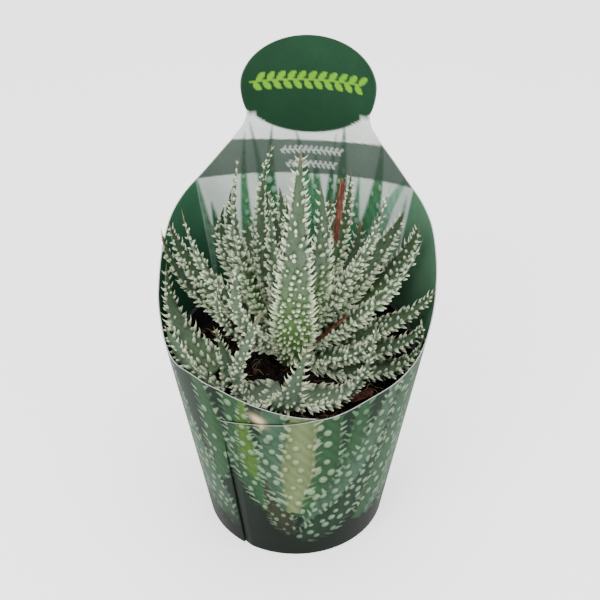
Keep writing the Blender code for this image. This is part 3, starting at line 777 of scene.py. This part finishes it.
def inside_print(angle, z):
    """The picture inside: pale sky with faded leaves on the back panel, a band, an oval and green sides, with
    painted shade darkening the sides to the left and towards the bottom.
    """
    rng = np.random.default_rng(22)
    b = (180.0 - angle + 180.0) % 360.0 - 180.0
    # painted shade: the green sides go darker towards the left and, through the factor below, towards the
    # bottom, where less light reaches inside the sleeve
    left = np.array([0.030, 0.098, 0.054])
    right = np.array([0.085, 0.185, 0.112])
    colour = mix(np.tile(left, (len(z), 1)), right, smooth(-40, 60, b))
    colour = colour * (0.80 + 0.25 * smooth(100, 165, z))[:, None]
    edge = 48.7 - 0.03 * (163 - z)
    sky = smooth(edge + 0.5, edge - 0.5, np.abs(b))
    tone = 0.92 + 0.08 * np.sin(b * 0.21 + z * 0.05)
    colour = mix(colour, SKY * tone[:, None], sky)
    top = 174.6 + 0.0042 * b**2
    bottom = 156.8 + 0.0032 * b**2
    above = smooth(top - 0.3, top + 0.3, z)
    band = smooth(bottom - 0.3, bottom + 0.3, z) * (1 - above) * (np.abs(b) < 60)
    colour = mix(colour, (0.740, 0.785, 0.755), above * (np.abs(b) < 48.7))
    picture = colour.copy()
    for leaf in INSIDE_LEAVES:
        paint_leaf(picture, b, z, leaf, rng, soft=0.8)
    sky = np.maximum(sky, above)
    colour = mix(colour, picture, sky)
    colour = mix(colour, (0.040, 0.066, 0.047), band * 0.90)
    oval = smooth(1.020, 0.980, np.hypot(b / (25.6 + 2.0 * smooth(189.5, 194.0, z)), (z - 203.5) / 24.9))
    dark, bright = np.array([0.0110, 0.0400, 0.0190]), (0.0140, 0.0490, 0.0235)
    green = mix(np.tile(dark, (len(z), 1)), bright, smooth(-20, 25, b + (z - 203)))
    colour = mix(colour, green, oval)
    sprig(colour, b, z, -1.2, 205.5, 28.0, 11, 6.2, (0.150, 0.380, 0.018), 0.95)
    sprig(colour, b, z, 1.0, 169.5, 17.0, 12, 2.8, (0.50, 0.55, 0.51), 0.75)
    sprig(colour, b, z, 1.0, 162.0, 14.0, 10, 2.8, (0.50, 0.55, 0.51), 0.75)
    return colour


# ---- card sleeve -----------------------------------------------------------------------------
def edge_height(angle):
    from_back = 180.0 - abs((angle + 180.0) % 360.0 - 180.0)
    if from_back <= PANEL_EDGE[0][0]:
        return PANEL_EDGE[0][1]
    front = (angle + 180.0) % 360.0 - 180.0
    table = [(-180.0 + a, h) for a, h in PANEL_EDGE] + FRONT_EDGE
    table += [(180.0 - a, h) for a, h in reversed(PANEL_EDGE)]
    return between(table, front)


def card_radius(turn, height):
    above_slit = (height - SEAM_SLIT_HEIGHT) / 0.012
    left = np.clip((4.0 - turn) / 6.0, 0, 1) * np.clip(above_slit + 1, 0, 1)
    right = np.clip((turn - 354.0) / 6.0, 0, 1) * np.clip(1 - above_slit, 0, 1)
    return SLEEVE_RADIUS + TAPER * height - TONGUE_OFFSET * np.maximum(left, right)


def header_outline(rows):
    outline = [(23.85, 0.1882)]
    start = radians(-HEADER_LOW_SPAN)
    low = HEADER_MIDDLE - NECK_HEIGHT
    for row in range(rows + 1):
        t = start + (pi / 2 - start) * (1 - (1 - row / rows) ** 1.5)
        if t < 0:
            half = HEADER_HALF_ANGLE - (HEADER_HALF_ANGLE - NECK_HALF_ANGLE) * (t / start) ** 2
            height = HEADER_MIDDLE - low * sin(t) / sin(start)
        else:
            half = HEADER_HALF_ANGLE * cos(t)
            height = HEADER_MIDDLE + (SLEEVE_HEIGHT - HEADER_MIDDLE) * sin(t)
        outline.append((half, height))
    return outline


def card_sleeve():
    """The bent sheet at a fine pitch, with the print on both faces and bare paper on its cut edges."""
    back = SEAM_ANGLE + 180.0
    stops = [-LEFT_TONGUE, 0.0, 4.0, back - 25.0, back + 25.0, 354.0, 360.0, 360.0 + RIGHT_TONGUE]
    turns = [stops[0]]
    for start, stop in zip(stops, stops[1:]):
        turns += list(np.linspace(start, stop, ceil((stop - start) / 0.50) + 1)[1:])
    low = np.linspace(GAP, SEAM_SLIT_HEIGHT, 120)
    high = np.linspace(0, 1, 161)[1:]
    places, rim = [], []
    index = -np.ones((len(turns), len(low) + len(high)), int)
    for column, turn in enumerate(turns):
        on_lap = turn > 360.0 - LEFT_TONGUE
        top = between(LAP_EDGE, SEAM_ANGLE + 360.0 - turn) if on_lap else edge_height(SEAM_ANGLE - turn)
        heights = np.concatenate([low, SEAM_SLIT_HEIGHT + (top - SEAM_SLIT_HEIGHT) * high])
        for row, height in enumerate(heights):
            if (turn < 0 and row < len(low) - 1) or (turn > 360 and row >= len(low)):
                continue
            index[column, row] = len(places)
            places.append((turn, height))
            on_neck = abs(turn - back) < 24.9
            rim.append(row == len(heights) - 1 and not on_neck)
    quads = np.stack([index[:-1, :-1], index[:-1, 1:], index[1:, 1:], index[1:, :-1]], axis=-1).reshape(-1, 4)
    quads = quads[(quads >= 0).all(axis=1)]
    neck = [c for c, turn in enumerate(turns) if abs(turn - back) <= 25.01]
    shares = [(turns[c] - back) / 25.0 for c in neck]
    below = [int(index[c, -1]) for c in neck]
    more = []
    outline = []
    coarse = header_outline(90)
    outline.append((24.6, 0.1862))
    outline.append((24.1, 0.1873))
    outline += coarse[:-1]
    for half, height in outline:
        row = []
        for share in shares:
            row.append(len(places))
            places.append((back + share * half, height))
            rim.append(abs(share) > 0.999)
        more += [(a, b, c, d) for a, d, b, c in zip(below, below[1:], row, row[1:])]
        below = row
    peak = len(places)
    places.append((back, SLEEVE_HEIGHT))
    rim.append(True)
    faces = np.concatenate([quads, np.array(more)])
    tris = np.array([(a, peak, b) for a, b in zip(below, below[1:])])
    places = np.array(places)
    rim = np.array(rim)
    angle = np.radians(SEAM_ANGLE - places[:, 0])
    count = len(places)
    shells = []
    for depth in (0.0, CARD):
        radius = card_radius(places[:, 0], places[:, 1]) - depth
        shells.append(np.stack([radius * np.sin(angle), -radius * np.cos(angle), places[:, 1]], axis=1))
    verts = np.concatenate(shells)
    edges = [faces[:, [k, (k + 1) % 4]] for k in range(4)] + [tris[:, [k, (k + 1) % 3]] for k in range(3)]
    edges = np.concatenate(edges)
    forward = edges[:, 0] * count + edges[:, 1]
    backward = edges[:, 1] * count + edges[:, 0]
    open_edges = edges[~np.isin(forward, backward)]
    sample = faces[len(faces) // 3]
    p = verts[sample]
    flip = np.dot(np.cross(p[1] - p[0], p[2] - p[0]), p[0] * (1, 1, 0)) < 0
    outer = [faces, tris]
    if flip:
        outer = [f[:, ::-1] for f in outer]
        open_edges = open_edges[:, ::-1]
    inner = [f[:, ::-1] + count for f in outer]
    first, second = open_edges[:, 0], open_edges[:, 1]
    edge = np.stack([second, first, first + count, second + count], axis=1)
    polygons = outer[0].tolist() + outer[1].tolist() + inner[0].tolist() + inner[1].tolist() + edge.tolist()
    looks = np.concatenate([np.zeros(2 * (len(faces) + len(tris))), np.ones(len(edge))])
    degrees = (SEAM_ANGLE - places[:, 0] + 180.0) % 360.0 - 180.0
    outside = outside_print(degrees, places[:, 1] * 1000)
    inside = inside_print(degrees, places[:, 1] * 1000)
    paper = np.array([0.78, 0.80, 0.76])
    outside[rim] = outside[rim] * 0.92 + paper * 0.08
    inside[rim] = inside[rim] * 0.92 + paper * 0.08
    print_colour = np.clip(np.concatenate([outside, inside]), 0, 1)
    return piece(
        "card_sleeve_look", verts, polygons, "card_sleeve", [card_look(), card_edge_look()],
        face_looks=looks, colours={"print": print_colour},
    )


# ---- soil ------------------------------------------------------------------------------------
def value_noise(x, y, seed, pitch):
    rng = np.random.default_rng(seed)
    grid = rng.random((64, 64))
    u, v = x / pitch + 31, y / pitch + 31
    i, j = np.floor(u).astype(int) % 63, np.floor(v).astype(int) % 63
    fu, fv = u - np.floor(u), v - np.floor(v)
    fu, fv = fu * fu * (3 - 2 * fu), fv * fv * (3 - 2 * fv)
    top = grid[i, j] * (1 - fu) + grid[i + 1, j] * fu
    bottom = grid[i, j + 1] * (1 - fu) + grid[i + 1, j + 1] * fu
    return top * (1 - fv) + bottom * fv - 0.5


def soil_height(x, y):
    r = np.hypot(x, y) / 0.0575
    rough = value_noise(x, y, 1, 0.009) * 0.0030 + value_noise(x, y, 2, 0.0035) * 0.0022
    rough += value_noise(x, y, 3, 0.0014) * 0.0012
    return SOIL_LEVEL - SOIL_DOME * r**2 + rough - 0.0004


def crumb(rng, size):
    """An irregular lump: a bent low ball."""
    turns = np.arange(7) * 2 * pi / 7
    points = [(0, 0, -1)]
    for level in (-0.5, 0.15, 0.7):
        r = (1 - level**2) ** 0.5
        points += [(r * cos(a + level), r * sin(a + level), level) for a in turns]
    points.append((0, 0, 1))
    points = np.array(points) * rng.uniform(0.72, 1.22, (len(points), 1)) * size
    points *= rng.uniform(0.55, 1.25, 3)
    spin = rng.uniform(0, 2 * pi, 3)
    for a, (i, j) in zip(spin, ((0, 1), (1, 2), (0, 2))):
        c, s = cos(a), sin(a)
        p, q = points[:, i].copy(), points[:, j].copy()
        points[:, i], points[:, j] = c * p - s * q, s * p + c * q
    faces = [[0, 1 + (k + 1) % 7, 1 + k] for k in range(7)]
    faces += [[i + 1 for i in f] for f in ring_faces(3, 7)[1]]
    faces += [[15 + k, 15 + (k + 1) % 7, 22] for k in range(7)]
    return points, faces


def thread(path, radius, sides=5):
    """A thin tube along a path."""
    path = np.asarray(path)
    along = unit(np.gradient(path, axis=0))
    side = unit(np.cross(along, np.array([0.31, 0.17, 0.93])))
    up = np.cross(along, side)
    turns = np.arange(sides) * 2 * pi / sides
    thin = radius * (0.35 + 0.65 * np.sin(pi * np.clip(np.linspace(0.12, 0.97, len(path)), 0, 1)) ** 0.5)
    round_it = side[:, None] * np.cos(turns)[None, :, None] + up[:, None] * np.sin(turns)[None, :, None]
    rings = path[:, None] + thin[:, None, None] * round_it
    index, faces = ring_faces(len(path), sides)
    return rings.reshape(-1, 3), faces + [index[0][::-1].tolist(), index[-1].tolist()]


def soil_piece():
    rng = np.random.default_rng(11)
    radius = POT_BASE_RADIUS + TAPER * SOIL_LEVEL - POT_LIP_WIDTH - GAP
    rings, sides = 62, 300
    r = np.linspace(0.0005, radius, rings)[:, None] + np.zeros((1, sides))
    a = np.arange(sides)[None, :] * 2 * pi / sides + np.zeros((rings, 1))
    x, y = r * np.cos(a), r * np.sin(a)
    z = soil_height(x, y)
    z[-1] -= 0.0010
    verts = [np.stack([x, y, z], axis=-1).reshape(-1, 3)]
    index = np.arange(rings * sides).reshape(rings, sides)
    ahead = np.roll(index, -1, axis=1)
    faces = np.stack([index[:-1], index[1:], ahead[1:], ahead[:-1]], axis=-1).reshape(-1, 4).tolist()
    faces.append(index[0].tolist())
    bottom_radius = radius - TAPER * SOIL_DEPTH
    turns = np.arange(sides) * 2 * pi / sides
    floor_height = np.full(sides, SOIL_LEVEL - SOIL_DEPTH)
    low = np.stack([bottom_radius * np.cos(turns), bottom_radius * np.sin(turns), floor_height], axis=1)
    base = rings * sides
    verts.append(low)
    for k in range(sides):
        after = (k + 1) % sides
        faces.append([int(index[-1, k]), base + k, base + after, int(index[-1, after])])
    faces.append([base + k for k in range(sides)][::-1])
    tones = [np.ones((base + sides, 3))]
    looks = [0] * len(faces)
    start = base + sides
    for _ in range(1500):
        size = rng.choice([0.6, 0.9, 1.3, 1.9], p=[0.45, 0.32, 0.17, 0.06]) * MM
        a, d = rng.uniform(0, 2 * pi), radius * 0.97 * rng.random() ** 0.5
        points, lump = crumb(rng, size)
        centre = np.array([d * cos(a), d * sin(a), 0.0])
        centre[2] = soil_height(centre[0], centre[1]) + 0.25 * size
        far = np.hypot(points[:, 0] + centre[0], points[:, 1] + centre[1]).max()
        if far > radius:
            continue
        verts.append(points + centre)
        kind = rng.random()
        colour = (2.6, 2.2, 1.9) if kind < 0.12 else (9.0, 6.0, 4.0) if kind < 0.17 else (1.1, 1.0, 0.95)
        tones.append(np.tile(np.array(colour) * rng.uniform(0.6, 1.3), (len(points), 1)))
        faces += [[i + start for i in f] for f in lump]
        looks += [0] * len(lump)
        start += len(points)
    for _ in range(110):
        a, d = rng.uniform(0, 2 * pi), radius * 0.94 * rng.random() ** 0.5
        heading = rng.uniform(0, 2 * pi)
        steps = int(rng.integers(8, 22))
        here = np.array([d * cos(a), d * sin(a)])
        path = []
        lift = rng.uniform(0.0002, 0.0018)
        for k in range(steps):
            height = soil_height(here[0], here[1]) + lift * sin(pi * k / (steps - 1)) + 0.0001
            path.append([here[0], here[1], height])
            heading += rng.normal(0, 0.42)
            here = here + 0.0011 * np.array([cos(heading), sin(heading)])
            if np.hypot(*here) > radius - 0.0008:
                break
        if len(path) < 5:
            continue
        points, tube = thread(path, rng.uniform(0.09, 0.20) * MM)
        verts.append(points)
        tones.append(np.ones((len(points), 3)))
        faces += [[i + start for i in f] for f in tube]
        looks += [1] * len(tube)
        start += len(points)
    return piece(
        "potting_soil_look", np.concatenate(verts), faces, "potting_soil",
        [soil_look(), fibre_look()], face_looks=looks, colours={"tone": np.concatenate(tones)},
    )


# ---- bark ------------------------------------------------------------------------------------
def bark_piece(name, look):
    """A splinter with a ribbed section, splintered ends and fibres that stand off it."""
    rng = np.random.default_rng(40 + len(name))
    start, end, width, thick = BARK[name]
    top = np.array([0.0, 0.0, SOIL_LEVEL])
    start, end = np.array(start) * MM + top, np.array(end) * MM + top
    along = unit(end - start)
    length = np.linalg.norm(end - start)
    side = unit(np.cross(along, np.array([0.0, 0.0, 1.0])))
    up = np.cross(side, along)
    rings, sides = int(length / (0.45 * MM)), 26
    s = np.linspace(0, 1, rings)
    t = np.arange(sides) * 2 * pi / sides
    wide = np.interp(s, [0, 0.04, 0.12, 0.45, 0.85, 0.96, 1.0], [0.10, 0.42, 0.80, 1.0, 0.88, 0.45, 0.12])
    shift = np.interp(s, [0, 0.10, 0.45, 0.85, 1.0], [0.22, 0.08, 0.0, -0.05, -0.20])
    groove = 1 + 0.16 * np.sin(t * 7 + 1.3)[None, :] + 0.10 * np.sin(t[None, :] * 11 + s[:, None] * 6)
    groove = groove + rng.normal(0, 0.04, (rings, sides))
    x = width * MM * (shift[:, None] + 0.5 * wide[:, None] * np.cos(t)[None, :] * groove * 0.76)
    y = thick * MM * 0.5 * wide[:, None] * np.sin(t)[None, :] * groove * 0.92
    centre = start + (end - start) * s[:, None]
    body = centre[:, None, :] + side * x[..., None] + up * y[..., None]
    verts = [body.reshape(-1, 3)]
    index, faces = ring_faces(rings, sides)
    faces += [index[0][::-1].tolist(), index[-1].tolist()]
    tone = 0.75 + 0.5 * value_noise(np.tile(t, rings), np.repeat(s * 3, sides), 9, 0.5) + 0.25
    tones = [np.repeat(tone[:, None], 3, axis=1)]
    count = rings * sides
    for _ in range(int(length / MM)):
        place = rng.random()
        reach = rng.uniform(0.08, 0.28)
        a = rng.uniform(0, 2 * pi)
        path = []
        for k in range(6):
            q = np.clip(place + reach * (k / 5 - 0.5), 0.01, 0.99)
            w = np.interp(q, s, wide)
            off = 0.5 * w * (1.0 + 0.10 * (k / 5) ** 2)
            shift_here = np.interp(q, s, shift)
            across = side * width * MM * (shift_here + off * cos(a)) * 0.98
            path.append(start + (end - start) * q + across + up * thick * MM * off * sin(a))
        points, tube = thread(path, rng.uniform(0.08, 0.16) * MM)
        verts.append(points)
        tones.append(np.full((len(points), 3), rng.uniform(0.8, 1.9)))
        faces += [[i + count for i in f] for f in tube]
        count += len(points)
    colours = {"tone": np.concatenate(tones)}
    return piece(name + "_look", np.concatenate(verts), faces, name, [look], colours=colours)


# ---- the plain CAD pieces --------------------------------------------------------------------
def refinish(node, look):
    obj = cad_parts[node]
    obj.data.materials.clear()
    obj.data.materials.append(look)


# ---- studio ----------------------------------------------------------------------------------
def studio():
    mesh = bpy.data.meshes.new("floor")
    mesh.from_pydata([(-4, -4, 0), (4, -4, 0), (4, 4, 0), (-4, 4, 0)], [], [(0, 1, 2, 3)])
    floor = bpy.data.objects.new("floor", mesh)
    bpy.context.scene.collection.objects.link(floor)
    look = Look("floor_look", 0.9, 0.1)
    look.base((0.97, 0.97, 0.97))
    look.shader.inputs["Emission Color"].default_value = (1.0, 1.0, 1.0, 1.0)
    look.shader.inputs["Emission Strength"].default_value = 1.1
    mesh.materials.append(look.material)
    world = bpy.data.worlds.new("studio")
    world.use_nodes = True
    world.node_tree.nodes["Background"].inputs["Color"].default_value = (1.0, 1.0, 1.0, 1.0)
    world.node_tree.nodes["Background"].inputs["Strength"].default_value = 1.15
    bpy.context.scene.world = world
    middle = Vector((0.0, 0.0, 0.12))
    for name, place, size, power in (
        ("key", (-0.45, -0.75, 0.95), 0.55, 9.0),
        ("fill", (0.85, -0.55, 0.65), 0.9, 5.0),
        ("top", (0.05, 0.15, 1.2), 0.8, 7.0),
    ):
        light = bpy.data.lights.new(name, "AREA")
        light.size = size
        light.energy = power
        lamp = bpy.data.objects.new(name, light)
        lamp.location = place
        lamp.rotation_euler = (middle - Vector(place)).to_track_quat("-Z", "Y").to_euler()
        bpy.context.scene.collection.objects.link(lamp)


def camera():
    data = bpy.data.cameras.new("camera")
    data.lens = 74.91
    data.sensor_width = 36.0
    e, a = radians(36.54), radians(5.0)
    back = Vector((sin(a) * cos(e), -cos(a) * cos(e), sin(e)))
    right = Vector((cos(a), sin(a), 0.0))
    target = right * 0.0022 + Vector((0, 0, 0.128))
    cam = bpy.data.objects.new("camera", data)
    cam.location = target + back * 0.6
    cam.rotation_euler = back.to_track_quat("Z", "Y").to_euler()
    bpy.context.scene.collection.objects.link(cam)
    bpy.context.scene.camera = cam


card_sleeve()
leaves()
soil_piece()
bark = bark_look()
for bark_name in BARK:
    bark_piece(bark_name, bark)
refinish("nursery_pot", pot_look())
stem = stem_look()
for stem_name in ("main_stem", "front_stem", "left_stem"):
    refinish(stem_name, stem)
studio()
camera()
